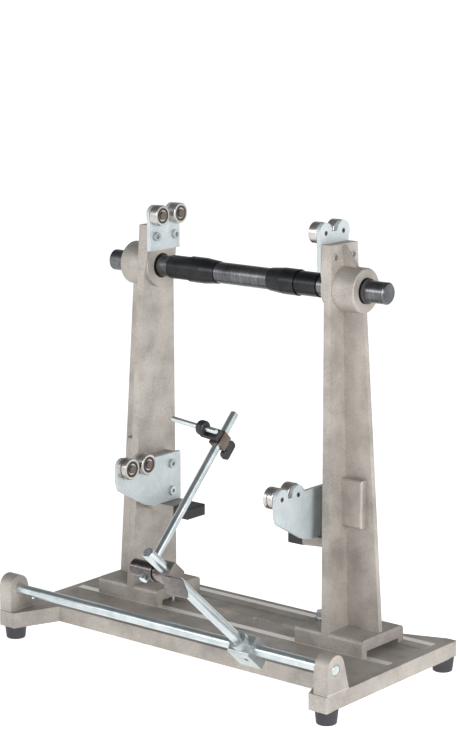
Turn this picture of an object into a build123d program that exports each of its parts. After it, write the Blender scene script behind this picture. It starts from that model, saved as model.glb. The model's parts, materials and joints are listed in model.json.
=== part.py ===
"""Wheel truing and balancing stand: cast base, two sliding uprights, arbor and gauge arm.

All sizes are in millimetres. X runs along the arbor, -Y is the rail side and Z is up.
Parts are built with the floor at Z = 0 and written with the arbor axis at the origin.
"""
import math
import os

from build123d import *

os.makedirs("parts", exist_ok=True)

# ---- overall sizes -------------------------------------------------------------
BASE_HALF = 251.0          # half length of the base along X
FRONT_EAR = -170.0         # front face of the two front ears
FRONT_EDGE = -114.0        # main front edge between the ears
REAR_EDGE = 66.0           # main rear edge
REAR_EAR = 84.0            # rear face of the two rear ears
FOOT_H = 17.0              # height of a rubber foot
BASE_T = 19.0              # thickness of the base casting
ARBOR_H = 454.0            # arbor axis above the floor
HEAD_ROOM = 51.0           # arbor axis to the top of the upright casting
UPRIGHT_TOP = ARBOR_H + HEAD_ROOM
BAY_HALF = 130.0           # arbor centre to the inner face of an upright

# ---- fits ----------------------------------------------------------------------
ARBOR_R = 12.7             # one inch ground shaft
RUN = 0.05                 # radial clearance of every turning or sliding round fit
FLAT = 0.05                # clearance between sliding flat faces
LOOSE = 0.5                # clearance round parts that pass through a slot or hole

# ---- base ----------------------------------------------------------------------
BASE_TOP = FOOT_H + BASE_T
CORNER_R = 1.4             # corner radius in plan, less than the lug set-back
SKIN = 8.0                 # top skin left over the pockets
WALL = 9.0                 # side wall round the pockets
EAR_W = 25.0               # width of an ear at its front face
DIAG_X = 23.0              # run of the front diagonal along X
REAR_EAR_W = 13.0
REAR_DIAG_X = 50.0
STRIP_Y = 36.0             # centre line of a machined strip
STRIP_W = 10.0
STRIP_H = 1.0
REAR_STRIP_MORE = 15.0     # the rear strip also reaches this far behind the carriage
STRIP_END = 11.0           # strip end to the end of the base
STRIP_HALF = BASE_HALF - STRIP_END
SLOT_W = 12.0
SLOT_IN = 10.0             # inner end of a clamp slot from the centre
SLOT_REACH = 43.5          # clamp bolt to the outer end of its slot
NUT_SIDE = 4.0             # side room of the clamp nut
FOOT_R_TOP = 13.5
FOOT_R_LOW = 11.5
FOOT_X = BASE_HALF - FOOT_R_TOP + 1.5
FOOT_FRONT_Y = FRONT_EAR + FOOT_R_TOP + 2.5
FOOT_REAR_Y = REAR_EAR - FOOT_R_TOP + 2.5
FOOT_STEM_R = 4.0
FOOT_STEM_H = 11.0
RAIL_TOP = BASE_TOP + STRIP_H

# ---- lugs and rail -------------------------------------------------------------
RAIL_R = 6.35
LUG_T = 19.0
LUG_WALL = 8.65
LUG_SETBACK = 1.5          # ear front to lug front
LUG_R = RAIL_R + LUG_WALL
RAIL_Y = FRONT_EAR + LUG_SETBACK + LUG_R
RAIL_Z = BASE_TOP + 27.0
LUG_REAR = RAIL_Y + 24.5
LUG_AXIS_Z = RAIL_Z + 2.0

# ---- carriage and upright ------------------------------------------------------
CAR_TOE = 23.0             # carriage inside the inner face of the upright
CAR_HEEL = 74.0            # carriage outside the inner face of the upright
CAR_IN = BAY_HALF - CAR_TOE
CAR_OUT = BAY_HALF + CAR_HEEL
CAR_HALF_Y = STRIP_Y + STRIP_W / 2
CAR_H = 20.0
CAR_FOOT_W = STRIP_W
CAR_ARCH = 6.0
PLATE_T = 14.0             # plate at the top
PLATE_HALF_Y = 25.0        # half width of the plate at the top
PLATE_LOW_T = 10.0         # plate at the carriage
PLATE_LEAN = 12.0          # the outer face runs out this far down to the carriage
PLATE_STEP = 5.5           # inner face set back below the upper cradle
PLATE_STEP_H = 32.0
PLATE_FOOT = 8.0           # depth of the plate in the carriage
RIB_T = 7.0
RIB_TOP_OUT = 28.0         # rib projection at the boss
RIB_LOW_OUT = 57.0         # rib projection at the carriage
BUSH_WALL = 2.4
BOSS_WALL = 10.9
BUSH_R = ARBOR_R + BUSH_WALL
BOSS_R = BUSH_R + BOSS_WALL
BOSS_OUT = 31.0            # boss projection from the plate
GUSSET_OUT = 19.0
GUSSET_H = 26.0
PAD_LOW = 179.0
PAD_H = 57.0
PAD_T = 8.5                # thickness of the pad on each side of the rib
PAD_OUT = 36.0             # pad edge to the top of the plate's outer face
PAD_ROUND = 3.0

# ---- clamp bolt ----------------------------------------------------------------
BOLT_R = 5.0
BOLT_X = CAR_IN + 11.5
SLOT_OUT = BOLT_X + SLOT_REACH
BOLT_AF = 16.0
BOLT_HEAD_H = 7.0
FLANGE_R = 10.0
FLANGE_H = 2.5
NUT_SIZE = 22.0
NUT_H = 8.0
NUT_ROOM = NUT_SIZE + 2 * NUT_SIDE

# ---- arbor ---------------------------------------------------------------------
ARBOR_STANDOUT = 31.0      # arbor end to the outer face of a boss
ARBOR_HALF = BAY_HALF + PLATE_T + BOSS_OUT + ARBOR_STANDOUT
ORING_R = 2.0
ORING_W = 5.0
CONE_SPACE = 18.0          # cone end to the inner face of an upright
COLLAR_LONG = 31.0
CONE_LONG = 41.0
CONE_OUT = BAY_HALF - CONE_SPACE
CONE_STEP = CONE_OUT - COLLAR_LONG
CONE_IN = CONE_STEP - CONE_LONG
CONE_R = ARBOR_R + 2.8
COLLAR_R = ARBOR_R + 1.5
CONE_TIP_R = ARBOR_R + 0.9

# ---- roller cradles ------------------------------------------------------------
CRADLE_T = 5.0
PIN_R = 3.0
PIN_HEAD_R = 5.0
PIN_HEAD_T = 1.2
SIDE_GAP = 0.4             # side gap of a roller to its plate and pin head
UP_ROLL_R = 12.5
UP_ROLL_W = 11.0
ROLL_GAP = 4.0             # half the gap between two rollers
UP_ROLL_Y = UP_ROLL_R + ROLL_GAP
UP_ROLL_Z = UPRIGHT_TOP + 12.0
UP_LOBE_R = 12.0
UP_PLATE_LOW = ARBOR_H + 20.0
UP_SCREW_Y = 17.0
UP_SCREW_Z = ARBOR_H + BOSS_R + 11.0
LOW_ROLL_R = 13.0
LOW_ROLL_W = 13.0
LOW_REACH = 86.0           # front lower roller in front of the arbor plane
LOW_ROLL_Y = (-LOW_REACH, -LOW_REACH + 2 * (LOW_ROLL_R + 2.0))
LOW_STANDOFF = 7.0         # plate to upright
LOW_LOBE_R = 11.5
LOW_BOTTOM = 162.0
LOW_TOP = LOW_BOTTOM + 60.0
LOW_ROLL_Z = LOW_TOP - 2.0
LOW_NOTCH = 1.5            # bottom of the notch below the roller pins
SCREW_R = 3.0
SCREW_HEAD_R = 5.5
SHELF_OUT = 30.0
BUMPER_OUT = 24.0
SHELF_HALF_Y = 18.0

# ---- gauge arm -----------------------------------------------------------------
ARM_X = 125.0
ARM_ANGLE = 41.8           # above the floor, leaning to the front
ARM_START = 9.0
ARM_END = 222.0
CLAMP_W = 30.0
CLAMP_HALF = RAIL_R + 6.45 # rail axis to the front and rear faces of the clamp
CLAMP_LOW = 24.0           # rail axis to the lower end of the clamp, along the arm
CLAMP_HIGH = 10.0
SET_X = 5.0                # set screw beside the arm axis
SET_AT = -4.0              # set screw below the rail axis, along the arm
SOCKET_R = RAIL_R + 4.15
SOCKET_END = 22.0
HEAD_AT = 176.0
HEAD_LONG = 22.0
HEAD_WIDE = 2 * (RAIL_R + 3.65)
HEAD_IN = RAIL_R + 4.65    # arm axis to the inner face of the head
HEAD_OUT = RAIL_R + 3.65   # arm axis to the outer face of the head
LEVER_T = 10.0
LEVER_PIN_UP = -7.0        # lever pin below the arm axis, square to the arm
LEVER_PIN_DEEP = 2.4
LEVER_EDGE = (             # (square to the arm, along the arm) from the head centre
    (-11.7, 24.0),
    (-2.0, -3.5),
    (-8.4, -20.0),
    (-14.4, -26.0),
    (-22.9, 0.0),
)
STUD_AT = 172.0
STUD_R = 5.0
GAUGE_R = 4.75
STUD_BODY_R = GAUGE_R + 4.75
GAUGE_X = ARM_X - HEAD_IN - 20.0
STUD_OUT = 20.0            # gauge rod to the free end of the stud
STUD_COLLAR = 9.5          # gauge rod to the collar of the stud
STUD_COLLAR_T = 2.5
GAUGE_ANGLE = 45.2         # above the floor, leaning back over the base
GAUGE_LOW = 14.0
GAUGE_HIGH = 208.0
BLOCK_AT = 171.0
BLOCK_SIZE = 2 * (GAUGE_R + 2.4)
BLOCK_LONG = 17.0
PIN_OFF = BLOCK_SIZE / 2 + 12.0
PIVOT_R = 3.0
POINTER_R = 3.0
BALL_X = GAUGE_X - 14.0
BALL_R = POINTER_R + 5.5
POINTER_IN = BALL_X - 47.0
POINTER_OUT = BALL_X + 21.0
POINTER_TILT = 5.5         # inner end of the pointer turned up along the gauge rod


# ---- helpers -------------------------------------------------------------------
def save(name, shape):
    """Write one part with the arbor axis at the origin."""
    export_step(Pos(0, 0, -ARBOR_H) * shape, f"parts/{name}.step")


def slab_z(points, low, high):
    """A flat outline in XY raised from low to high."""
    outline = Polyline(*points, close=True)
    return Pos(0, 0, low) * extrude(make_face(outline), amount=high - low)


def slab_x(points, start, stop):
    """A (Y, Z) outline pushed along X from start to stop."""
    outline = Polyline(*[(start, y, z) for y, z in points], close=True)
    return extrude(make_face(outline), amount=stop - start, dir=(1, 0, 0))


def box(x0, x1, y0, y1, z0, z1):
    """A box given by its six faces."""
    centre = Pos((x0 + x1) / 2, (y0 + y1) / 2, (z0 + z1) / 2)
    return centre * Box(abs(x1 - x0), abs(y1 - y0), abs(z1 - z0))


def rod_x(radius, x0, x1, y, z):
    """A round bar along X."""
    return Pos((x0 + x1) / 2, y, z) * Rot(0, 90, 0) * Cylinder(radius, abs(x1 - x0))


def rod_z(radius, x, y, z0, z1):
    """A round bar along Z."""
    return Pos(x, y, (z0 + z1) / 2) * Cylinder(radius, abs(z1 - z0))


def both_ends(shape):
    """The shape and its mirror image across the YZ plane."""
    return shape + mirror(shape, about=Plane.YZ)


def yz_frame(x, point, angle_deg, front):
    """Frame with local Z along a bar in a YZ plane and local X along -X or +X.

    front True leans the bar to -Y, False leans it to +Y.
    """
    angle = math.radians(angle_deg)
    along = (0, -math.cos(angle) if front else math.cos(angle), math.sin(angle))
    return Plane(origin=(x, point[0], point[1]), x_dir=(1, 0, 0), z_dir=along)


def tangent_point(centre, radius, outside):
    """Point where a line from outside touches the upper right of a circle."""
    dy = outside[0] - centre[0]
    dz = outside[1] - centre[1]
    reach = math.hypot(dy, dz)
    turn = math.atan2(dz, dy) + math.acos(radius / reach)
    return (centre[0] + radius * math.cos(turn), centre[1] + radius * math.sin(turn))


# ---- base casting --------------------------------------------------------------
def base_outline(inset):
    """Plan outline of the base, drawn in from every edge by inset."""
    half = BASE_HALF - inset
    right = [
        (BASE_HALF - EAR_W - DIAG_X, FRONT_EDGE + inset),
        (BASE_HALF - EAR_W + inset * 0.6, FRONT_EAR + inset),
        (half, FRONT_EAR + inset),
        (half, REAR_EAR - inset),
        (BASE_HALF - REAR_EAR_W, REAR_EAR - inset),
        (BASE_HALF - REAR_EAR_W - REAR_DIAG_X, REAR_EDGE - inset),
    ]
    left = [(-x, y) for x, y in reversed(right)]
    return right + left


def lug():
    """Upright lug at the front right corner with the rail hole."""
    front = RAIL_Y - LUG_R
    touch = tangent_point((RAIL_Y, LUG_AXIS_Z), LUG_R, (LUG_REAR, BASE_TOP))
    x0 = BASE_HALF - LUG_T
    body = slab_x(
        [
            (front, BASE_TOP - 1),
            (front, LUG_AXIS_Z),
            (RAIL_Y, LUG_AXIS_Z),
            touch,
            (LUG_REAR, BASE_TOP),
            (LUG_REAR, BASE_TOP - 1),
        ],
        x0,
        BASE_HALF,
    )
    return body + rod_x(LUG_R, x0, BASE_HALF, RAIL_Y, LUG_AXIS_Z)


def base_casting():
    """Base plate with ears, lugs, machined strips, clamp slots and hollow underside."""
    body = slab_z(base_outline(0), FOOT_H, BASE_TOP)
    corners = [e for e in body.edges().filter_by(Axis.Z)
               if abs(abs(e.center().X) - BASE_HALF) < 0.1]
    body = fillet(corners, CORNER_R)
    body += both_ends(lug())
    for y0, y1 in ((-STRIP_Y - STRIP_W / 2, -STRIP_Y + STRIP_W / 2),
                   (STRIP_Y - STRIP_W / 2, STRIP_Y + STRIP_W / 2 + REAR_STRIP_MORE)):
        body += box(-STRIP_HALF, STRIP_HALF, y0, y1, BASE_TOP - 1, RAIL_TOP)
    pocket_x = BASE_HALF - EAR_W - DIAG_X - WALL
    low = FOOT_H
    high = BASE_TOP - SKIN
    front = box(8, pocket_x, FRONT_EDGE + WALL, -NUT_ROOM / 2 - WALL, low - 1, high)
    rear = box(8, pocket_x - REAR_DIAG_X / 3, NUT_ROOM / 2 + WALL, REAR_EDGE - WALL,
               low - 1, high)
    nut_room = box(SLOT_IN - 12, SLOT_OUT + 12, -NUT_ROOM / 2, NUT_ROOM / 2, low - 1, high)
    slot = box(SLOT_IN + SLOT_W / 2, SLOT_OUT - SLOT_W / 2, -SLOT_W / 2, SLOT_W / 2,
               high - 1, BASE_TOP + 1)
    for end in (SLOT_IN + SLOT_W / 2, SLOT_OUT - SLOT_W / 2):
        slot += rod_z(SLOT_W / 2, end, 0, high - 1, BASE_TOP + 1)
    body -= both_ends(front + rear + slot)
    body -= both_ends(nut_room)
    body -= rod_x(RAIL_R + RUN, -BASE_HALF - 1, BASE_HALF + 1, RAIL_Y, RAIL_Z)
    for x in (-FOOT_X, FOOT_X):
        for y in (FOOT_FRONT_Y, FOOT_REAR_Y):
            body -= rod_z(FOOT_STEM_R, x, y, FOOT_H - 1, FOOT_H + FOOT_STEM_H)
    return body


def foot(x, y):
    """Tapered rubber foot with its stem in the base."""
    cone = Pos(x, y, FOOT_H / 2) * Cone(FOOT_R_LOW, FOOT_R_TOP, FOOT_H)
    cone = fillet(cone.edges().sort_by(Axis.Z)[0], 1.5)
    return cone + rod_z(FOOT_STEM_R, x, y, FOOT_H - 1, FOOT_H + FOOT_STEM_H)


# ---- upright assembly, right hand side -----------------------------------------
def tapered_plate(low_in, low_out, car_top):
    """Plate of the upright: widens and leans outward down to the carriage."""
    foot = car_top - PLATE_FOOT
    step = UP_PLATE_LOW - 2
    side = Polyline(
        (BAY_HALF, -CAR_HALF_Y, UPRIGHT_TOP),
        (BAY_HALF + PLATE_T, -CAR_HALF_Y, UPRIGHT_TOP),
        (low_out, -CAR_HALF_Y, car_top),
        (low_out, -CAR_HALF_Y, foot),
        (low_in, -CAR_HALF_Y, foot),
        (low_in, -CAR_HALF_Y, car_top),
        (BAY_HALF + PLATE_STEP, -CAR_HALF_Y, step - PLATE_STEP_H),
        (BAY_HALF, -CAR_HALF_Y, step),
        close=True,
    )
    lean = extrude(make_face(side), amount=2 * CAR_HALF_Y, dir=(0, 1, 0))
    taper = slab_x(
        [
            (-PLATE_HALF_Y, UPRIGHT_TOP),
            (PLATE_HALF_Y, UPRIGHT_TOP),
            (CAR_HALF_Y, car_top),
            (CAR_HALF_Y, foot),
            (-CAR_HALF_Y, foot),
            (-CAR_HALF_Y, car_top),
        ],
        BAY_HALF - 1,
        low_out + 1,
    )
    return lean & taper


def upright_casting():
    """Carriage, plate, rib, bearing boss and shelf in one casting."""
    car_low = RAIL_TOP + FLAT
    car_top = car_low + CAR_H
    plate_out = BAY_HALF + PLATE_T
    carriage = box(CAR_IN, CAR_OUT, -CAR_HALF_Y, CAR_HALF_Y, car_low, car_top)
    long_edges = carriage.edges().filter_by(Axis.X).group_by(Axis.Z)[-1]
    carriage = fillet(long_edges, 5)
    arch = CAR_HALF_Y - CAR_FOOT_W
    carriage -= box(CAR_IN - 1, CAR_OUT + 1, -arch, arch, car_low - 1, car_low + CAR_ARCH)
    low_out = plate_out + PLATE_LEAN
    low_in = low_out - PLATE_LOW_T
    plate = tapered_plate(low_in, low_out, car_top)
    rib_face = Polyline(
        (low_out - 2, RIB_T / 2, car_top - 1),
        (plate_out + RIB_LOW_OUT, RIB_T / 2, car_top - 1),
        (plate_out + RIB_TOP_OUT, RIB_T / 2, ARBOR_H),
        (plate_out - 1, RIB_T / 2, ARBOR_H),
        close=True,
    )
    rib = extrude(make_face(rib_face), amount=RIB_T, dir=(0, -1, 0))
    gusset_face = Polyline(
        (plate_out - 1, RIB_T / 2, ARBOR_H + BOSS_R - 2),
        (plate_out + GUSSET_OUT, RIB_T / 2, ARBOR_H + BOSS_R - 2),
        (plate_out + GUSSET_OUT, RIB_T / 2, ARBOR_H + BOSS_R - 1),
        (plate_out, RIB_T / 2, ARBOR_H + BOSS_R - 2 + GUSSET_H),
        (plate_out - 1, RIB_T / 2, ARBOR_H + BOSS_R - 2 + GUSSET_H),
        close=True,
    )
    gusset = extrude(make_face(gusset_face), amount=RIB_T, dir=(0, -1, 0))
    pad_half = RIB_T / 2 + PAD_T
    pad = box(low_in + 2, plate_out + PAD_OUT, -pad_half, pad_half, PAD_LOW, PAD_LOW + PAD_H)
    faces = pad.edges().group_by(Axis.Y)
    pad = fillet(faces[0] + faces[-1], PAD_ROUND)
    boss = rod_x(BOSS_R, BAY_HALF, plate_out + BOSS_OUT, 0, ARBOR_H)
    outer = boss.edges().sort_by(Axis.X)[-1]
    boss = fillet(outer, 2)
    standoff = box(BAY_HALF - LOW_STANDOFF, low_in, -SHELF_HALF_Y + 4,
                   SHELF_HALF_Y, LOW_BOTTOM - 2, LOW_TOP - 2)
    shelf_face = Polyline(
        (low_in, -SHELF_HALF_Y, LOW_BOTTOM - 10),
        (BAY_HALF - SHELF_OUT, -SHELF_HALF_Y, LOW_BOTTOM - 14),
        (BAY_HALF - SHELF_OUT, -SHELF_HALF_Y, LOW_BOTTOM - 1),
        (low_in, -SHELF_HALF_Y, LOW_BOTTOM - 1),
        close=True,
    )
    shelf = extrude(make_face(shelf_face), amount=2 * SHELF_HALF_Y, dir=(0, 1, 0))
    body = carriage + plate + rib + gusset + pad + boss + standoff + shelf
    body -= rod_x(BUSH_R, BAY_HALF - 1, plate_out + BOSS_OUT + 1, 0, ARBOR_H)
    body -= rod_z(BOLT_R + LOOSE, BOLT_X, 0, car_low - 1, car_top + 1)
    for y in (-UP_SCREW_Y, UP_SCREW_Y):
        body -= rod_x(SCREW_R, BAY_HALF - 1, plate_out + 1, y, UP_SCREW_Z)
    for z in low_screw_heights():
        body -= rod_x(SCREW_R, BAY_HALF - LOW_STANDOFF - 1, plate_out + 1, 0, z)
    return body


def low_screw_heights():
    """Heights of the two screws that hold the lower cradle plate."""
    return (LOW_BOTTOM + 13, LOW_TOP - 13)


def bush():
    """Bearing bush pressed into the boss."""
    end = BAY_HALF + PLATE_T + BOSS_OUT
    ring = rod_x(BUSH_R, BAY_HALF + 1, end, 0, ARBOR_H)
    return ring - rod_x(ARBOR_R + RUN, BAY_HALF, end + 1, 0, ARBOR_H)


def upper_plate():
    """Two-lobed plate that carries the upper rollers."""
    x0 = BAY_HALF - CRADLE_T
    half = UP_ROLL_Y + UP_LOBE_R - 1.5
    body = box(x0, BAY_HALF, -half, half, UP_PLATE_LOW, UP_ROLL_Z + 1)
    for y in (-UP_ROLL_Y, UP_ROLL_Y):
        body += rod_x(UP_LOBE_R, x0, BAY_HALF, y, UP_ROLL_Z)
        body -= rod_x(PIN_R, x0 - 1, BAY_HALF + 1, y, UP_ROLL_Z)
    for y in (-UP_SCREW_Y, UP_SCREW_Y):
        body -= rod_x(SCREW_R, x0 - 1, BAY_HALF + 1, y, UP_SCREW_Z)
    return body


def lower_plate():
    """Forward-reaching plate that carries the lower rollers."""
    x1 = BAY_HALF - LOW_STANDOFF
    x0 = x1 - CRADLE_T
    front, rear = LOW_ROLL_Y
    body = slab_x(
        [
            (SHELF_HALF_Y, LOW_BOTTOM),
            (rear + 22, LOW_BOTTOM),
            (rear + 8, LOW_BOTTOM + 4),
            (front - 8, LOW_BOTTOM + 30),
            (front - LOW_LOBE_R, LOW_BOTTOM + 42),
            (front - LOW_LOBE_R, LOW_ROLL_Z),
            (front, LOW_ROLL_Z),
            ((front + rear) / 2, LOW_ROLL_Z - LOW_NOTCH),
            (rear, LOW_ROLL_Z),
            (rear + LOW_LOBE_R, LOW_TOP),
            (SHELF_HALF_Y, LOW_TOP),
        ],
        x0,
        x1,
    )
    for y in LOW_ROLL_Y:
        body += rod_x(LOW_LOBE_R, x0, x1, y, LOW_ROLL_Z)
    for y in LOW_ROLL_Y:
        body -= rod_x(PIN_R, x0 - 1, x1 + 1, y, LOW_ROLL_Z)
    for z in low_screw_heights():
        body -= rod_x(SCREW_R, x0 - 1, x1 + 1, 0, z)
    return body


def roller(radius, width, outer_x, y, z, grooved):
    """Ball-bearing roller whose outer side sits at outer_x."""
    x0 = outer_x - width
    body = rod_x(radius, x0, outer_x, y, z)
    rims = body.edges().filter_by(GeomType.CIRCLE)
    body = fillet(rims, 1.2)
    if grooved:
        middle = (x0 + outer_x) / 2
        ring = rod_x(radius + 1, middle - 1.5, middle + 1.5, y, z)
        body -= ring - rod_x(radius - 1.2, middle - 2, middle + 2, y, z)
    for side in (x0, outer_x):
        dish = rod_x(radius - 3, side - 0.6, side + 0.6, y, z)
        body -= dish - rod_x(PIN_R + 3.5, side - 1, side + 1, y, z)
    return body - rod_x(PIN_R + RUN, x0 - 1, outer_x + 1, y, z)


def roller_pin(width, plate_x, y, z):
    """Riveted roller pin with its head on the wheel side."""
    head_x = plate_x - width - 2 * SIDE_GAP
    body = rod_x(PIN_R, head_x, plate_x + CRADLE_T, y, z)
    body += rod_x(PIN_HEAD_R, head_x - PIN_HEAD_T, head_x, y, z)
    dimple = rod_x(PIN_R * 0.55, plate_x + CRADLE_T - 2, plate_x + CRADLE_T + 1, y, z)
    return body - dimple


def cradle_screw(plate_x, y, z):
    """Cap screw from the wheel side into the upright."""
    end = BAY_HALF + PLATE_T - 1.5
    head = rod_x(SCREW_HEAD_R, plate_x - 4, plate_x, y, z)
    head -= rod_x(SCREW_R * 0.8, plate_x - 5, plate_x - 2, y, z)
    return head + rod_x(SCREW_R, plate_x, end, y, z)


def clamp_bolt():
    """Flanged hexagon bolt that locks the carriage."""
    top = RAIL_TOP + FLAT + CAR_H
    low = BASE_TOP - SKIN - FLAT - NUT_H - 2
    hexagon = RegularPolygon(BOLT_AF / 2, 6, major_radius=False)
    head = Pos(BOLT_X, 0, top + FLANGE_H) * extrude(hexagon, amount=BOLT_HEAD_H)
    flange = rod_z(FLANGE_R, BOLT_X, 0, top, top + FLANGE_H)
    return head + flange + rod_z(BOLT_R, BOLT_X, 0, low, top + 1)


def clamp_nut():
    """Square nut that rides under the slot."""
    high = BASE_TOP - SKIN - FLAT
    half = NUT_SIZE / 2
    body = box(BOLT_X - half, BOLT_X + half, -half, half, high - NUT_H, high)
    return body - rod_z(BOLT_R + RUN, BOLT_X, 0, high - NUT_H - 1, high + 1)


def bumper():
    """Rubber buffer on the end of the shelf."""
    inner = BAY_HALF - SHELF_OUT
    body = box(inner - BUMPER_OUT, inner, -SHELF_HALF_Y + 2, SHELF_HALF_Y - 2,
               LOW_BOTTOM - 15, LOW_BOTTOM - 1)
    return fillet(body.edges().group_by(Axis.X)[0], 2.5)


def right_side():
    """Every part of the right upright, by name."""
    low_x = BAY_HALF - LOW_STANDOFF - CRADLE_T
    up_x = BAY_HALF - CRADLE_T
    parts = {
        "upright": upright_casting(),
        "bush": bush(),
        "upper_plate": upper_plate(),
        "lower_plate": lower_plate(),
        "clamp_bolt": clamp_bolt(),
        "clamp_nut": clamp_nut(),
        "bumper": bumper(),
    }
    for tag, y in (("front", -UP_ROLL_Y), ("rear", UP_ROLL_Y)):
        parts[f"upper_roller_{tag}"] = roller(
            UP_ROLL_R, UP_ROLL_W, up_x - SIDE_GAP, y, UP_ROLL_Z, False)
        parts[f"upper_pin_{tag}"] = roller_pin(UP_ROLL_W, up_x, y, UP_ROLL_Z)
    for tag, y in zip(("front", "rear"), LOW_ROLL_Y):
        parts[f"lower_roller_{tag}"] = roller(
            LOW_ROLL_R, LOW_ROLL_W, low_x - SIDE_GAP, y, LOW_ROLL_Z, True)
        parts[f"lower_pin_{tag}"] = roller_pin(LOW_ROLL_W, low_x, y, LOW_ROLL_Z)
    for tag, y in (("front", -UP_SCREW_Y), ("rear", UP_SCREW_Y)):
        parts[f"upper_screw_{tag}"] = cradle_screw(up_x, y, UP_SCREW_Z)
    for tag, z in zip(("low", "high"), low_screw_heights()):
        parts[f"lower_screw_{tag}"] = cradle_screw(low_x, 0, z)
    return parts


# ---- arbor ---------------------------------------------------------------------
def oring_x():
    """Centre of the O-ring groove, just outside the right boss."""
    return BAY_HALF + PLATE_T + BOSS_OUT + LOOSE + ORING_W / 2


def arbor():
    """Ground shaft with an O-ring groove outside the right boss."""
    body = rod_x(ARBOR_R, -ARBOR_HALF, ARBOR_HALF, 0, ARBOR_H)
    body = chamfer(body.edges().filter_by(GeomType.CIRCLE), 1.5)
    x = oring_x()
    groove = rod_x(ARBOR_R + 1, x - ORING_W / 2, x + ORING_W / 2, 0, ARBOR_H)
    groove -= rod_x(ARBOR_R - ORING_R, x - ORING_W, x + ORING_W, 0, ARBOR_H)
    return body - groove


def oring():
    """O-ring seated in the arbor groove."""
    ring = Torus(ARBOR_R, ORING_R)
    return Pos(oring_x(), 0, ARBOR_H) * Rot(0, 90, 0) * ring


def cone():
    """Centring cone with its collar, right hand side."""
    r = CONE_TIP_R
    profile = Polyline(
        (CONE_IN, 0, ARBOR_H),
        (CONE_IN, 0, ARBOR_H + r),
        (CONE_IN + 20, 0, ARBOR_H + CONE_R),
        (CONE_STEP, 0, ARBOR_H + CONE_R),
        (CONE_STEP, 0, ARBOR_H + COLLAR_R),
        (CONE_OUT, 0, ARBOR_H + COLLAR_R),
        (CONE_OUT, 0, ARBOR_H),
        close=True,
    )
    body = revolve(make_face(profile), Axis((0, 0, ARBOR_H), (1, 0, 0)))
    return body - rod_x(ARBOR_R + RUN, CONE_IN - 1, CONE_OUT + 1, 0, ARBOR_H)


# ---- gauge arm -----------------------------------------------------------------
def along_arm(distance):
    """(Y, Z) of a point on the arm axis."""
    angle = math.radians(ARM_ANGLE)
    return (RAIL_Y - distance * math.cos(angle), RAIL_Z + distance * math.sin(angle))


def along_gauge(distance):
    """(Y, Z) of a point on the gauge rod axis, measured from the stud."""
    angle = math.radians(GAUGE_ANGLE)
    y, z = along_arm(STUD_AT)
    return (y + distance * math.cos(angle), z + distance * math.sin(angle))


def arm_bar(radius, start, stop):
    """Round bar along the arm axis."""
    frame = yz_frame(ARM_X, along_arm((start + stop) / 2), ARM_ANGLE, True)
    return frame * Cylinder(radius, stop - start)


def gauge_bar(radius, start, stop):
    """Round bar along the gauge rod axis."""
    frame = yz_frame(GAUGE_X, along_gauge((start + stop) / 2), GAUGE_ANGLE, False)
    return frame * Cylinder(radius, stop - start)


def rail_rod():
    """Rail that turns in the two lugs."""
    bar = rod_x(RAIL_R, -BASE_HALF, BASE_HALF, RAIL_Y, RAIL_Z)
    return chamfer(bar.edges().filter_by(GeomType.CIRCLE), 0.8)


def rail_clamp():
    """Clamp block that slides on the rail, square to the arm it holds."""
    middle = (CLAMP_HIGH - CLAMP_LOW) / 2
    frame = yz_frame(ARM_X, along_arm(middle), ARM_ANGLE, True)
    block = Box(CLAMP_W, 2 * CLAMP_HALF, CLAMP_HIGH + CLAMP_LOW)
    block = fillet(block.edges().filter_by(Axis.X).group_by(Axis.Z)[-1], 3)
    body = frame * block + arm_bar(SOCKET_R, 0, SOCKET_END)
    body -= rod_x(RAIL_R + RUN, ARM_X - CLAMP_W, ARM_X + CLAMP_W, RAIL_Y, RAIL_Z)
    body -= arm_bar(RAIL_R, 0, SOCKET_END + 1)
    rail_frame = yz_frame(ARM_X, (RAIL_Y, RAIL_Z), ARM_ANGLE, True)
    deep = CLAMP_HALF + 1
    hole = Pos(SET_X, -deep / 2, SET_AT) * Rot(90, 0, 0) * Cylinder(SCREW_R, deep)
    return body - rail_frame * hole


def rail_clamp_screw():
    """Socket set screw that locks the clamp to the rail."""
    frame = yz_frame(ARM_X, (RAIL_Y, RAIL_Z), ARM_ANGLE, True)
    start = RAIL_R + RUN
    stop = CLAMP_HALF - 0.8
    turn = Rot(90, 0, 0)
    body = Pos(SET_X, -(start + stop) / 2, SET_AT) * turn * Cylinder(SCREW_R, stop - start)
    socket = extrude(RegularPolygon(SCREW_R * 0.55, 6), amount=3)
    return frame * (body - Pos(SET_X, -stop + 2.5, SET_AT) * turn * socket)


def arm_rod():
    """Arm rod pressed into the rail clamp."""
    bar = arm_bar(RAIL_R, ARM_START, ARM_END)
    tip = bar.edges().filter_by(GeomType.CIRCLE).sort_by(Axis.Z)[-1]
    return fillet(tip, 1.5)


def head_frame():
    """Frame at the middle of the head: local Z along the arm, local Y square to it."""
    return yz_frame(ARM_X, along_arm(HEAD_AT), ARM_ANGLE, True)


def arm_head():
    """Head casting that slides on the arm and carries the swivel stud."""
    frame = head_frame()
    wide = HEAD_IN + HEAD_OUT
    shift = (HEAD_OUT - HEAD_IN) / 2
    block = Pos(shift, 0, 0) * Box(wide, HEAD_WIDE, HEAD_LONG)
    body = frame * chamfer(block.edges().filter_by(Axis.X), 1.5)
    body -= arm_bar(RAIL_R + RUN, HEAD_AT - HEAD_LONG, HEAD_AT + HEAD_LONG)
    y, z = along_arm(STUD_AT)
    body -= rod_x(STUD_R + RUN, ARM_X - HEAD_IN - 1, ARM_X - RAIL_R - 1.5, y, z)
    return body - frame * lever_pin(1)


def lever_pin(more):
    """Pin of the head lever, reaching past the outer face of the head by more."""
    start = HEAD_OUT - LEVER_PIN_DEEP
    stop = HEAD_OUT + more
    place = Pos((start + stop) / 2, LEVER_PIN_UP, 0)
    return place * Rot(0, 90, 0) * Cylinder(SCREW_R, stop - start)


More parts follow.
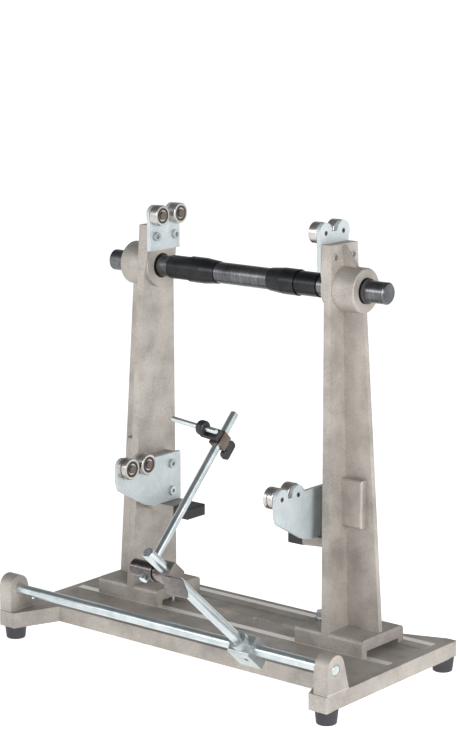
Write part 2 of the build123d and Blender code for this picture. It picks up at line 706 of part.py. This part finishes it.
def arm_head_lever():
    """Lock lever of the head, flat against its outer side."""
    outline = Polyline(*[(HEAD_OUT, up, along) for up, along in LEVER_EDGE], close=True)
    wing = extrude(make_face(outline), amount=LEVER_T, dir=(1, 0, 0))
    wing = fillet(wing.edges().filter_by(Axis.X), 2.5)
    wing = chamfer(wing.edges().group_by(Axis.X)[-1], 1)
    return head_frame() * (wing + lever_pin(1))


def swivel_stud():
    """Swivel stud that carries the gauge rod beside the head."""
    y, z = along_arm(STUD_AT)
    head_face = ARM_X - HEAD_IN
    collar = GAUGE_X + STUD_COLLAR
    body = rod_x(STUD_R, head_face - 1, ARM_X - RAIL_R - 2, y, z)
    body += rod_x(STUD_BODY_R, collar, head_face - SIDE_GAP, y, z)
    body += rod_x(STUD_BODY_R + 1.5, collar, collar + STUD_COLLAR_T, y, z)
    body += rod_x(STUD_BODY_R - 0.5, GAUGE_X - STUD_OUT, collar + 1, y, z)
    return body - gauge_bar(GAUGE_R + RUN, -2 * GAUGE_LOW, 2 * GAUGE_LOW)


def gauge_rod():
    """Straight gauge rod through the swivel stud."""
    bar = gauge_bar(GAUGE_R, -GAUGE_LOW, GAUGE_HIGH)
    return chamfer(bar.edges().filter_by(GeomType.CIRCLE), 0.8)


def block_frame():
    """Frame at the pointer block: local Z along the gauge rod, local -Y forward."""
    return yz_frame(GAUGE_X, along_gauge(BLOCK_AT), GAUGE_ANGLE, False)


def turned_frame():
    """Frame of the pointer and its carrier, turned on the block's front face."""
    return block_frame() * Rot(0, POINTER_TILT, 0)


def pointer_block():
    """Block that slides on the gauge rod."""
    body = block_frame() * Box(BLOCK_SIZE, BLOCK_SIZE, BLOCK_LONG)
    body -= gauge_bar(GAUGE_R + RUN, BLOCK_AT - BLOCK_LONG, BLOCK_AT + BLOCK_LONG)
    face = BLOCK_SIZE / 2
    tapped = Pos(0, face - 0.75, 0) * Rot(90, 0, 0) * Cylinder(SCREW_R, 2.0)
    pivot = Pos(0, -face, 0) * Rot(90, 0, 0) * Cylinder(PIVOT_R + RUN, 4)
    return body - block_frame() * tapped - block_frame() * pivot


def pointer_lever():
    """Wing screw on the lower side of the pointer block."""
    face = BLOCK_SIZE / 2
    shank = Pos(0, face - 0.75, 0) * Rot(90, 0, 0) * Cylinder(SCREW_R, 2.0)
    hub = Pos(0, face + 4, 0) * Rot(90, 0, 0) * Cylinder(6, 8)
    wing = Pos(0, face + 12, 0) * Box(5, 12, 22)
    wing = fillet(wing.edges().filter_by(Axis.X), 4)
    return block_frame() * (shank + hub + wing)


def pointer_swivel():
    """Black carrier that turns on the block and holds the pointer."""
    face = BLOCK_SIZE / 2
    reach = BALL_X - GAUGE_X
    near = face + SIDE_GAP
    far = PIN_OFF - POINTER_R - 1.5
    stem = Pos(0, -near + 0.5, 0) * Rot(90, 0, 0) * Cylinder(PIVOT_R, 3.5)
    bar = Pos(reach / 2, -(near + far) / 2, 0) * Box(abs(reach) + 12, far - near, 12)
    ball = Pos(reach, -PIN_OFF, 0) * Rot(0, 90, 0) * Cylinder(BALL_R, 10)
    ball = fillet(ball.edges().filter_by(GeomType.CIRCLE), 3)
    body = turned_frame() * (stem + bar + ball)
    return body - pointer_bar(POINTER_R + RUN, BALL_X - 20, BALL_X + 20)


def pointer_bar(radius, x0, x1):
    """Round bar on the pointer axis."""
    middle = (x0 + x1) / 2 - GAUGE_X
    place = Pos(middle, -PIN_OFF, 0) * Rot(0, 90, 0)
    return turned_frame() * place * Cylinder(radius, x1 - x0)


def pointer_pin():
    """Pointer that is brought up to the rim."""
    pin = pointer_bar(POINTER_R, POINTER_IN, POINTER_OUT)
    return chamfer(pin.edges().filter_by(GeomType.CIRCLE), 0.8)


# ---- write every part ----------------------------------------------------------
save("base_casting", base_casting())
for side, x in (("left", -FOOT_X), ("right", FOOT_X)):
    save(f"foot_front_{side}", foot(x, FOOT_FRONT_Y))
    save(f"foot_rear_{side}", foot(x, FOOT_REAR_Y))

for name, shape in right_side().items():
    save(f"right_{name}", shape)
    save(f"left_{name}", mirror(shape, about=Plane.YZ))

save("arbor", arbor())
save("arbor_oring", oring())
save("right_cone", cone())
save("left_cone", mirror(cone(), about=Plane.YZ))

save("rail_rod", rail_rod())
save("rail_clamp", rail_clamp())
save("rail_clamp_screw", rail_clamp_screw())
save("arm_rod", arm_rod())
save("arm_head", arm_head())
save("arm_head_lever", arm_head_lever())
save("swivel_stud", swivel_stud())
save("gauge_rod", gauge_rod())
save("pointer_block", pointer_block())
save("pointer_lever", pointer_lever())
save("pointer_swivel", pointer_swivel())
save("pointer_pin", pointer_pin())
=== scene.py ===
# %% [markdown]
# # A wheel truing and balancing stand
# The stand is a cast aluminium base with two sliding uprights, a ground arbor between
# them, roller cradles, and a jointed gauge arm on a rail. Its exact shapes arrive as a
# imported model, and this lesson gives them surfaces, finer small parts, light and a camera.

# %% Load the fixed frame
import json
import math

import bmesh
import bpy
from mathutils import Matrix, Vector


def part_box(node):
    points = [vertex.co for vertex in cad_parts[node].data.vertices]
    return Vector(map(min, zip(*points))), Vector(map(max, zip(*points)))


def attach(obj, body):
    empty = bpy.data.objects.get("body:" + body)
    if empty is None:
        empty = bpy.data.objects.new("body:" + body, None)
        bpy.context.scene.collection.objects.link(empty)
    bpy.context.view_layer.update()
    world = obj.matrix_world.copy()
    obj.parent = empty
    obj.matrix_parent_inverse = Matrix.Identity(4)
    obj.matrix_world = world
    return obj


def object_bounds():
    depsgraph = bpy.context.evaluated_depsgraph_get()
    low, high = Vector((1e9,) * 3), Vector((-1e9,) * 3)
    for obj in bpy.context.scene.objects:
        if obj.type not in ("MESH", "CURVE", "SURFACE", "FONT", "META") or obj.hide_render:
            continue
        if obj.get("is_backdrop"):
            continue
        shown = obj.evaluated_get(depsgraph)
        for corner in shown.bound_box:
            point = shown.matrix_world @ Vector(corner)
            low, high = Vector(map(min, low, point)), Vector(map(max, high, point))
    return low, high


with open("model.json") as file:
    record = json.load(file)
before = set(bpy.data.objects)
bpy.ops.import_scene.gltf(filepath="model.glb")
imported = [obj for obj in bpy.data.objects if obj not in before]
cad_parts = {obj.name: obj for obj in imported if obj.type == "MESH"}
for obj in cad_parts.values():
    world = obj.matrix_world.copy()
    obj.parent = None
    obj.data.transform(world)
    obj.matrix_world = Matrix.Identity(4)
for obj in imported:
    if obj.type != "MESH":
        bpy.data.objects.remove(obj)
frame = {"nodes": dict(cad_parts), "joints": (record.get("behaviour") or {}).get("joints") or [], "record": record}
nodes = frame["nodes"]
joints = {j["name"]: j for j in frame["joints"]}
cad_low, cad_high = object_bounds()

# %% [markdown]
# ## Colour and node helpers
# Paint charts and colour pickers give sRGB hex values, while the renderer mixes light in
# linear values. One function turns the first into the second. A second small function adds
# a shader node with its settings and its links, so that each finish reads as a short list.


# %% Helpers for colour and nodes
def linear(hex_code, alpha=1.0):
    """Linear RGBA of an sRGB hex colour such as #B0A89E."""
    out = []
    for i in (1, 3, 5):
        c = int(hex_code[i:i + 2], 16) / 255
        out.append(c / 12.92 if c <= 0.04045 else ((c + 0.055) / 1.055) ** 2.4)
    return (*out, alpha)


def add(tree, kind, links=(), **settings):
    """Add one node. Settings name a property or an input; links are (input, socket)."""
    node = tree.nodes.new(kind)
    for key, value in settings.items():
        if hasattr(node, key):
            setattr(node, key, value)
        else:
            node.inputs[key.replace("_", " ")].default_value = value
    for key, socket in links:
        tree.links.new(socket, node.inputs[key])
    return node


def new_finish(name):
    """A material with an empty tree, its shader and the object's own coordinates."""
    material = bpy.data.materials.new(name)
    material.use_nodes = True
    tree = material.node_tree
    tree.nodes.clear()
    shader = add(tree, "ShaderNodeBsdfPrincipled")
    out = add(tree, "ShaderNodeOutputMaterial")
    tree.links.new(shader.outputs["BSDF"], out.inputs["Surface"])
    place = add(tree, "ShaderNodeTexCoord").outputs["Object"]
    return material, tree, shader, place


def per_metre(size_mm):
    """Texture scale that gives features of this size when coordinates are metres."""
    return 1000.0 / size_mm


print("mid grey", [round(v, 3) for v in linear("#808080")])

# %% [markdown]
# ## Sand-cast aluminium
# The base and the uprights are poured in sand moulds, so their skin is a matt warm grey
# with fine grain, faint blotches and softened edges. Where the carriages slide, the base
# is milled: two strips are bright, with fine tool marks across them. Both strips stand one
# millimetre proud, so the shader finds them by their height in the casting. On the rear
# strip, the part next to the carriages keeps the cast grey as a painted shade of the
# carriages, and only its outer part shows milled, which is a second test, on Y.

# %% Sand-cast aluminium with milled strips
CAST_LIGHT, CAST_DARK = linear("#BFB9B2"), linear("#958F89")
MILLED = linear("#E4E2DE")
GRAIN_MM = 1.1      # real sand grain is near 0.4 mm, drawn coarser so that it shows
BLOTCH_MM = 45.0
STRIP_TOP_SLACK, STRIP_LOW_SLACK = 0.00001, 0.0004  # height window of a strip, in m
WAVE_TURN = 6.283   # the wave texture repeats once in each turn of its phase
CAST_ROUGH, MILLED_ROUGH = 0.56, 0.3
MILL_MARK_MM = 1.6  # feed marks of a face mill, drawn coarser so that they show
# Y from which the rear strip shows milled; nearer the carriages it keeps the cast grey as a painted shade of the
# carriages.
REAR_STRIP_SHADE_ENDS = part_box("right_upright")[1].y + 0.005  # bright band behind the carriage


def sand_cast_aluminium():
    material, tree, shader, place = new_finish("sand_cast_aluminium")
    blotch = add(tree, "ShaderNodeTexNoise", [("Vector", place)],
                 Scale=per_metre(BLOTCH_MM), Detail=4.0, Roughness=0.6)
    grain = add(tree, "ShaderNodeTexNoise", [("Vector", place)],
                Scale=per_metre(GRAIN_MM), Detail=3.0, Roughness=0.65)
    mix_value = add(tree, "ShaderNodeMath", [(0, blotch.outputs["Fac"]),
                    (1, grain.outputs["Fac"])], operation="MULTIPLY")
    tone = add(tree, "ShaderNodeMapRange", [("Value", mix_value.outputs[0])],
               From_Min=0.14, From_Max=0.36)
    cast = add(tree, "ShaderNodeMix", [("Factor", tone.outputs[0])], data_type="RGBA")
    cast.inputs["A"].default_value = CAST_DARK
    cast.inputs["B"].default_value = CAST_LIGHT

    # Strips: height just above the base skin, and near the two centre lines.
    axes = add(tree, "ShaderNodeSeparateXYZ", [("Vector", place)])
    strip_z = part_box("right_upright")[0].z
    above = add(tree, "ShaderNodeMath", [(0, axes.outputs["Z"])],
                operation="GREATER_THAN")
    above.inputs[1].default_value = strip_z - STRIP_LOW_SLACK
    below = add(tree, "ShaderNodeMath", [(0, axes.outputs["Z"])], operation="LESS_THAN")
    below.inputs[1].default_value = strip_z + STRIP_TOP_SLACK
    front = add(tree, "ShaderNodeMath", [(0, axes.outputs["Y"])], operation="LESS_THAN")
    front.inputs[1].default_value = 0.0
    # Rear strip only past the painted shade of the carriages: nearer them the strip stays cast grey.
    outer = add(tree, "ShaderNodeMath", [(0, axes.outputs["Y"])], operation="GREATER_THAN")
    outer.inputs[1].default_value = REAR_STRIP_SHADE_ENDS
    lane = add(tree, "ShaderNodeMath", [(0, front.outputs[0]), (1, outer.outputs[0])],
               operation="ADD")
    on_strip = add(tree, "ShaderNodeMath", [(0, above.outputs[0]), (1, below.outputs[0])],
                   operation="MULTIPLY")
    on_strip = add(tree, "ShaderNodeMath", [(0, on_strip.outputs[0]),
                   (1, lane.outputs[0])], operation="MULTIPLY")
    marks = add(tree, "ShaderNodeTexWave", [("Vector", place)], bands_direction="X",
                Scale=per_metre(MILL_MARK_MM) / WAVE_TURN, Distortion=0.6, Detail=1.0)
    colour = add(tree, "ShaderNodeMix", [("Factor", on_strip.outputs[0]),
                 ("A", cast.outputs["Result"])], data_type="RGBA")
    colour.inputs["B"].default_value = MILLED
    tree.links.new(colour.outputs["Result"], shader.inputs["Base Color"])
    rough = add(tree, "ShaderNodeMapRange", [("Value", on_strip.outputs[0])],
                To_Min=CAST_ROUGH, To_Max=MILLED_ROUGH)
    tree.links.new(rough.outputs[0], shader.inputs["Roughness"])
    height = add(tree, "ShaderNodeMix", [("Factor", on_strip.outputs[0]),
                 ("A", grain.outputs["Fac"]), ("B", marks.outputs["Fac"])])
    bump = add(tree, "ShaderNodeBump", [("Height", height.outputs["Result"])],
               Strength=0.16, Distance=0.0004)
    tree.links.new(bump.outputs["Normal"], shader.inputs["Normal"])
    shader.inputs["Metallic"].default_value = 0.55
    return material


cast_aluminium = sand_cast_aluminium()
print("finish", cast_aluminium.name)

# %% [markdown]
# ## Metals from bar, sheet and forging
# The other metals differ in three ways only: colour, how rough they are, and the direction
# of their fine marks. Drawn bar has streaks along its length, a ground shaft has rings
# around it, and zinc plated sheet has soft spangles. One function draws them all: noise is
# squeezed along the direction in which the marks run, so that it becomes streaks.


# %% Worked metals
CLOUD_MM = 18.0     # soft patches of handling and oil on bare or plated metal


def worked_metal(name, light, dark, rough, along=(0, 0, 0), mark_mm=1.0, stretch=1.0,
                 metallic=1.0, depth=0.06, spread=0.12):
    """Metal whose marks run along the turned local X axis by the given stretch."""
    material, tree, shader, place = new_finish(name)
    turned = add(tree, "ShaderNodeMapping", [("Vector", place)], vector_type="TEXTURE")
    turned.inputs["Rotation"].default_value = along
    squeezed = add(tree, "ShaderNodeMapping", [("Vector", turned.outputs[0])])
    squeezed.inputs["Scale"].default_value = (1.0 / stretch, 1.0, 1.0)
    marks = add(tree, "ShaderNodeTexNoise", [("Vector", squeezed.outputs[0])],
                Scale=per_metre(mark_mm), Detail=4.0, Roughness=0.6)
    cloud = add(tree, "ShaderNodeTexNoise", [("Vector", place)],
                Scale=per_metre(CLOUD_MM), Detail=2.0)
    both = add(tree, "ShaderNodeMath", [(0, marks.outputs["Fac"]),
               (1, cloud.outputs["Fac"])], operation="MULTIPLY")
    tone = add(tree, "ShaderNodeMapRange", [("Value", both.outputs[0])],
               From_Min=0.12, From_Max=0.38)
    colour = add(tree, "ShaderNodeMix", [("Factor", tone.outputs[0])], data_type="RGBA")
    colour.inputs["A"].default_value = linear(dark)
    colour.inputs["B"].default_value = linear(light)
    gloss = add(tree, "ShaderNodeMapRange", [("Value", marks.outputs["Fac"])],
                To_Min=max(rough - spread, 0.05), To_Max=rough + spread)
    bump = add(tree, "ShaderNodeBump", [("Height", marks.outputs["Fac"])],
               Strength=depth, Distance=0.0003)
    tree.links.new(colour.outputs["Result"], shader.inputs["Base Color"])
    tree.links.new(gloss.outputs[0], shader.inputs["Roughness"])
    tree.links.new(bump.outputs["Normal"], shader.inputs["Normal"])
    shader.inputs["Metallic"].default_value = metallic
    return material


def turn_to(direction):
    """Rotation that lays the local X axis on a direction."""
    return Vector(direction).to_track_quat("X", "Z").to_euler()


arm_line = joints["arm_head_slide"]["axis"]
gauge_line = joints["gauge_rod_slide"]["axis"]
ZINC_LIGHT, ZINC_DARK = "#D2DADC", "#B2BCBF"
BAR_ROUGH = 0.31     # plated drawn bar is satin, not mirror bright
rail_zinc = worked_metal("bright_zinc_bar_rail", ZINC_LIGHT, ZINC_DARK, BAR_ROUGH,
                         mark_mm=1.2, stretch=40.0)
arm_zinc = worked_metal("bright_zinc_bar_arm", ZINC_LIGHT, ZINC_DARK, BAR_ROUGH,
                        along=turn_to(arm_line), mark_mm=1.2, stretch=40.0)
gauge_zinc = worked_metal("bright_zinc_bar_gauge", ZINC_LIGHT, ZINC_DARK, BAR_ROUGH,
                          along=turn_to(gauge_line), mark_mm=1.0, stretch=40.0)
plate_zinc = worked_metal("blue_zinc_sheet", "#C6CED0", "#B2BBBE", 0.5, mark_mm=3.0,
                          spread=0.06, metallic=0.25)
screw_zinc = worked_metal("zinc_plated_screw", "#CBD0D0", "#9AA0A2", 0.3, mark_mm=1.5)
die_cast_zinc = worked_metal("plated_zinc_clamp", "#C3C9CA", "#A3ABAD", 0.36,
                             mark_mm=1.4, metallic=0.85, depth=0.1)
bearing_steel = worked_metal("polished_bearing_steel", "#D3CFCB", "#A39E99", 0.27,
                             mark_mm=0.9, stretch=0.05)
arbor_steel = worked_metal("ground_arbor_steel", "#76777A", "#47484B", 0.3, mark_mm=30.0,
                           stretch=0.02, depth=0.1)
black_steel = worked_metal("black_oxide_steel", "#2C2D30", "#17181A", 0.34, mark_mm=2.0,
                           metallic=0.6, spread=0.1)
block_steel = worked_metal("plain_steel_block", "#83786F", "#5E544D", 0.42, mark_mm=1.4)
lever_steel = worked_metal("dull_cast_steel_lever", "#868180", "#625D5A", 0.4,
                           mark_mm=1.6, depth=0.12)
head_zinc = worked_metal("aged_die_cast_zinc_head", "#8C8581", "#68625E", 0.42,
                         mark_mm=1.4, metallic=0.8, depth=0.14)
stud_steel = worked_metal("browned_steel_stud", "#6B6766", "#403D3C", 0.28, mark_mm=1.6,
                          spread=0.08)
pin_steel = worked_metal("oiled_steel_pin", "#7A6D63", "#574C44", 0.45, mark_mm=1.2,
                         metallic=0.6)
bush_bronze = worked_metal("oiled_sintered_bronze", "#4A4038", "#2C2724", 0.42,
                           mark_mm=0.8, depth=0.12)
print("bar direction", [round(v, 3) for v in arm_line])

# %% [markdown]
# ## Rubber and moulded black plastic
# Feet, buffers and the O-ring are moulded rubber: nearly black, matt, with a slight bloom
# that lifts the colour in patches. Knobs are black nylon with a fine spark-eroded texture.


# %% Rubber and plastic
BLOOM_MM = 9.0      # patches of the pale bloom that rubber grows


def moulded(name, light, dark, rough, grain_mm, depth):
    """Dull moulded surface with a bloom and a fine grain."""
    material, tree, shader, place = new_finish(name)
    bloom = add(tree, "ShaderNodeTexNoise", [("Vector", place)],
                Scale=per_metre(BLOOM_MM), Detail=4.0)
    grain = add(tree, "ShaderNodeTexNoise", [("Vector", place)],
                Scale=per_metre(grain_mm), Detail=2.0)
    colour = add(tree, "ShaderNodeMix", [("Factor", bloom.outputs["Fac"])],
                 data_type="RGBA")
    colour.inputs["A"].default_value = linear(dark)
    colour.inputs["B"].default_value = linear(light)
    gloss = add(tree, "ShaderNodeMapRange", [("Value", bloom.outputs["Fac"])],
                To_Min=rough - 0.1, To_Max=rough + 0.1)
    bump = add(tree, "ShaderNodeBump", [("Height", grain.outputs["Fac"])],
               Strength=depth, Distance=0.0003)
    tree.links.new(colour.outputs["Result"], shader.inputs["Base Color"])
    tree.links.new(gloss.outputs[0], shader.inputs["Roughness"])
    tree.links.new(bump.outputs["Normal"], shader.inputs["Normal"])
    return material


foot_rubber = moulded("moulded_rubber", "#3E3E44", "#242428", 0.62, 0.9, 0.2)
knob_nylon = moulded("black_nylon", "#26272A", "#151618", 0.42, 0.7, 0.12)
print("finish", foot_rubber.name, knob_nylon.name)

# %% [markdown]
# ## Dress the machined frame
# Each node of the frame takes one finish. A list of name endings is enough, because left
# and right parts are mirror images. Sharp edges of the castings are rounded with a bevel
# modifier, which leaves the fixed mesh as it is and only changes what is shown.

# %% Give every node its finish
FINISH_OF = [
    ("upright", cast_aluminium), ("base_casting", cast_aluminium),
    ("bush", bush_bronze), ("upper_plate", plate_zinc), ("lower_plate", plate_zinc),
    ("bumper", foot_rubber), ("clamp_bolt", screw_zinc), ("clamp_nut", screw_zinc),
    ("roller_front", bearing_steel), ("roller_rear", bearing_steel),
    ("pin_front", pin_steel), ("pin_rear", pin_steel),
    ("screw_front", screw_zinc), ("screw_rear", screw_zinc),
    ("screw_low", screw_zinc), ("screw_high", screw_zinc), ("cone", black_steel),
    ("arbor", arbor_steel), ("arbor_oring", foot_rubber), ("rail_rod", rail_zinc),
    ("rail_clamp", die_cast_zinc), ("rail_clamp_screw", screw_zinc),
    ("arm_rod", arm_zinc), ("arm_head", head_zinc), ("arm_head_lever", lever_steel),
    ("swivel_stud", stud_steel), ("gauge_rod", gauge_zinc),
    ("pointer_block", block_steel), ("pointer_lever", knob_nylon),
    ("pointer_swivel", knob_nylon), ("pointer_pin", rail_zinc),
]


def finish_for(name):
    """Finish of a node: foot by prefix, everything else by its name's ending."""
    if name.startswith("foot_"):
        return foot_rubber
    fits = [(len(end), m.name) for end, m in FINISH_OF if name.endswith(end)]
    return bpy.data.materials[max(fits)[1]]


for name, obj in nodes.items():
    obj.data.materials.clear()
    obj.data.materials.append(finish_for(name))
print("dressed", len(nodes))


# %% Round the edges
def soften(obj, width_mm, segments=2, angle=35):
    """Show an object with rounded edges."""
    mod = obj.modifiers.new("edge_round", "BEVEL")
    mod.width = width_mm / 1000
    mod.segments = segments
    mod.limit_method = "ANGLE"
    mod.angle_limit = math.radians(angle)
    mod.harden_normals = True
    mod.use_clamp_overlap = True


ROUND_MM = {"upright": 1.2, "base_casting": 1.2, "rail_clamp": 1.0, "arm_head": 1.0,
            "upper_plate": 0.5, "lower_plate": 0.5, "pointer_block": 0.6,
            "pointer_swivel": 0.8, "pointer_lever": 1.0, "clamp_bolt": 0.5,
            "swivel_stud": 0.6}
for name, obj in nodes.items():
    for end, size in ROUND_MM.items():
        if name == end or name in ("left_" + end, "right_" + end):
            soften(obj, size)
print("rounded", sum(1 for o in nodes.values() if o.modifiers))

# %% [markdown]
# ## Seals, thread ends and plugs
# Three small things finish the machined frame. Each roller is a sealed bearing, with a
# black seal lying in the dish of each side. Where the screws of the upper plates come
# through the uprights, a bright washer face surrounds the hole. The milled end of each
# carriage has two small round plugs. All are turned parts, so one profile is spun about
# an axis along X. A spun profile gives true round rims that catch a thin light, which a
# painted circle would not.


# %% Spin a profile
GROUPS = frame["record"]["behaviour"]["bodies"]
BODY_OF = {n: body for body, members in GROUPS.items() for n in members}
SEAL_SLOT, SCREW_SLOT, CAST_SLOT = "black_rubber", "zinc_fastener", "cast_aluminium"
SPIN_STEPS = 40


def turned(name, profile, centre, sign, node, slot, finish):
    """Spin (out, radius) points in mm about the X line through centre; sign mirrors it."""
    mesh = bpy.data.meshes.new(name)
    bm = bmesh.new()
    rings = []
    for out, radius in profile:
        ring = []
        for i in range(SPIN_STEPS):
            turn = 2 * math.pi * i / SPIN_STEPS
            ring.append(bm.verts.new((centre[0] + sign * out / 1000,
                                      centre[1] + radius / 1000 * math.cos(turn),
                                      centre[2] + radius / 1000 * math.sin(turn))))
        rings.append(ring)
    for one, two in zip(rings, rings[1:] + rings[:1]):
        for i in range(SPIN_STEPS):
            j = (i + 1) % SPIN_STEPS
            bm.faces.new((one[i], one[j], two[j], two[i]))
    bmesh.ops.recalc_face_normals(bm, faces=bm.faces)
    bm.to_mesh(mesh)
    bm.free()
    mesh.materials.append(finish)
    for face in mesh.polygons:
        face.use_smooth = True
    piece = bpy.data.objects.new(name, mesh)
    bpy.context.scene.collection.objects.link(piece)
    soften(piece, 0.1, segments=1)
    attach(piece, BODY_OF[node])
    return piece


# %% Seals of the rollers
DISH_DEEP_MM, SEAL_IN_MM, RIM_MM = 0.6, 6.7, 3.2
LIP_MM, CROWN_MM, LIP_IN_MM = 0.25, 0.15, 0.1   # depths below the roller side, taper
seals = 0
for name in [n for n in nodes if "roller" in n]:
    low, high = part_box(name)
    middle = (low + high) / 2
    outer = (high.z - low.z) / 2 * 1000 - RIM_MM
    for sign, face in ((1, high.x), (-1, low.x)):
        profile = [(-DISH_DEEP_MM, SEAL_IN_MM), (-LIP_MM, SEAL_IN_MM + LIP_IN_MM),
                   (-CROWN_MM, (SEAL_IN_MM + outer) / 2), (-LIP_MM, outer - LIP_IN_MM),
                   (-DISH_DEEP_MM, outer)]
        turned(f"{name}_seal_{'out' if sign > 0 else 'in'}", profile,
               (face, middle.y, middle.z), sign, name, SEAL_SLOT, foot_rubber)
        seals += 1
print("seals", seals)

# %% Washer faces and carriage plugs
HOLE_RIM_M = 0.0034     # a hole of 3 mm radius has its rim inside this


def face_at_hole(node, y, z, sign, within=HOLE_RIM_M):
    """Outer X of a node's face at the rim of a hole along X."""
    rim = [sign * v.co.x for v in nodes[node].data.vertices
           if math.hypot(v.co.y - y, v.co.z - z) < within]
    return sign * max(rim)


WASHER = [(-0.3, 3.0), (0.45, 3.1), (0.45, 4.4), (-0.3, 4.7)]
PLUG = [(0.0, 3.4), (0.3, 3.2), (0.3, 1.2), (-0.3, 1.0)]
PLUG_SPOTS = [(-0.021, -0.402), (0.026, -0.402)]
for side, sign in (("left", -1), ("right", 1)):
    node = f"{side}_upright"
    reach = max(abs(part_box(node)[0].x), abs(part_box(node)[1].x))
    for where in ("front", "rear"):
        low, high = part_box(f"{side}_upper_screw_{where}")
        middle = (low + high) / 2
        turned(f"{side}_washer_face_{where}", WASHER,
               (face_at_hole(node, middle.y, middle.z, sign), middle.y, middle.z), sign, node, SCREW_SLOT,
               screw_zinc)
    for place_name, (y, z) in zip(("front", "rear"), PLUG_SPOTS):
        turned(f"{side}_carriage_plug_{place_name}", PLUG, (sign * reach, y, z), sign,
               node, CAST_SLOT, cast_aluminium)

# %% [markdown]
# ## Floor, light and camera
# The stand is shown on a plain white sweep in soft studio light. The walls of the surround
# are white and its ceiling is dim, so upright faces are light and top faces are darker, as
# on a product table with flats at the sides. Two soft boxes, front left and front right,
# model the round parts. The sweep glows a little, so that it stays white under the base.

# %% Floor and surround
floor_z = cad_low.z
SIDE_GLOW, ROOF_GLOW = 0.92, 0.2    # bright walls, dim ceiling
FLOOR_GLOW = 0.8     # the sweep is lit from below, so that it stays white in the shade
SWEEP = 30.0          # half width of the floor in metres, past the frame at every side
LOW_SKY, HIGH_SKY = 0.05, 0.75      # heights between which walls turn into ceiling
mesh = bpy.data.meshes.new("studio_floor")
mesh.from_pydata([(-SWEEP, -SWEEP, floor_z), (SWEEP, -SWEEP, floor_z),
                  (SWEEP, SWEEP, floor_z), (-SWEEP, SWEEP, floor_z)], [], [(0, 1, 2, 3)])
floor = bpy.data.objects.new("studio_floor", mesh)
bpy.context.scene.collection.objects.link(floor)
floor_paint, tree, shader, place = new_finish("white_backlit_sweep")
shader.inputs["Base Color"].default_value = linear("#F4F4F4")
shader.inputs["Roughness"].default_value = 0.9
shader.inputs["Emission Color"].default_value = (1, 1, 1, 1)
shader.inputs["Emission Strength"].default_value = FLOOR_GLOW
floor.data.materials.append(floor_paint)
floor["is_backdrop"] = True

world = bpy.data.worlds.new("studio_surround")
world.use_nodes = True
sky = world.node_tree
sky_place = add(sky, "ShaderNodeTexCoord").outputs["Generated"]
sky_axes = add(sky, "ShaderNodeSeparateXYZ", [("Vector", sky_place)])
sky_level = add(sky, "ShaderNodeMapRange", [("Value", sky_axes.outputs["Z"])],
                From_Min=LOW_SKY, From_Max=HIGH_SKY, To_Min=SIDE_GLOW, To_Max=ROOF_GLOW,
                interpolation_type="SMOOTHSTEP")
sky.links.new(sky_level.outputs[0], sky.nodes["Background"].inputs["Strength"])
sky.nodes["Background"].inputs["Color"].default_value = (1, 1, 1, 1)
bpy.context.scene.world = world
bpy.context.scene.view_settings.view_transform = "Standard"
print("floor at", round(floor_z, 4))


# %% Soft boxes
def soft_box(name, position, aim, size, watts):
    """Square area light at a position, facing a point."""
    data = bpy.data.lights.new(name, "AREA")
    data.size = size
    data.energy = watts
    lamp = bpy.data.objects.new(name, data)
    lamp.location = position
    lamp.rotation_euler = (Vector(aim) - Vector(position)).to_track_quat("-Z", "Y").to_euler()
    bpy.context.scene.collection.objects.link(lamp)
    return lamp


MIDDLE = (0, 0, -0.2)
soft_box("left_box", (-1.3, -2.4, 0.75), MIDDLE, 0.7, 15)
soft_box("right_box", (2.6, -0.9, 0.5), MIDDLE, 1.0, 46)

# %% Camera
AZIMUTH, ELEVATION = math.radians(39.0), math.radians(12.5)
DISTANCE = 2.6216
aim = Vector((0, 0, -0.164))
back = Vector((math.sin(AZIMUTH) * math.cos(ELEVATION),
               -math.cos(AZIMUTH) * math.cos(ELEVATION), math.sin(ELEVATION)))
camera_data = bpy.data.cameras.new("camera")
camera_data.sensor_width = 36.0
camera_data.lens = 108.8
camera_data.shift_x = -0.0214
camera_data.shift_y = 0.0653
camera = bpy.data.objects.new("camera", camera_data)
camera.location = aim + back * DISTANCE
camera.rotation_euler = (-back).to_track_quat("-Z", "Y").to_euler()
bpy.context.scene.collection.objects.link(camera)
bpy.context.scene.camera = camera
print("camera", [round(v, 3) for v in camera.location])

# %% Print the sizes and finish
low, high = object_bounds()
print("visual size", [round(v, 4) for v in high - low])
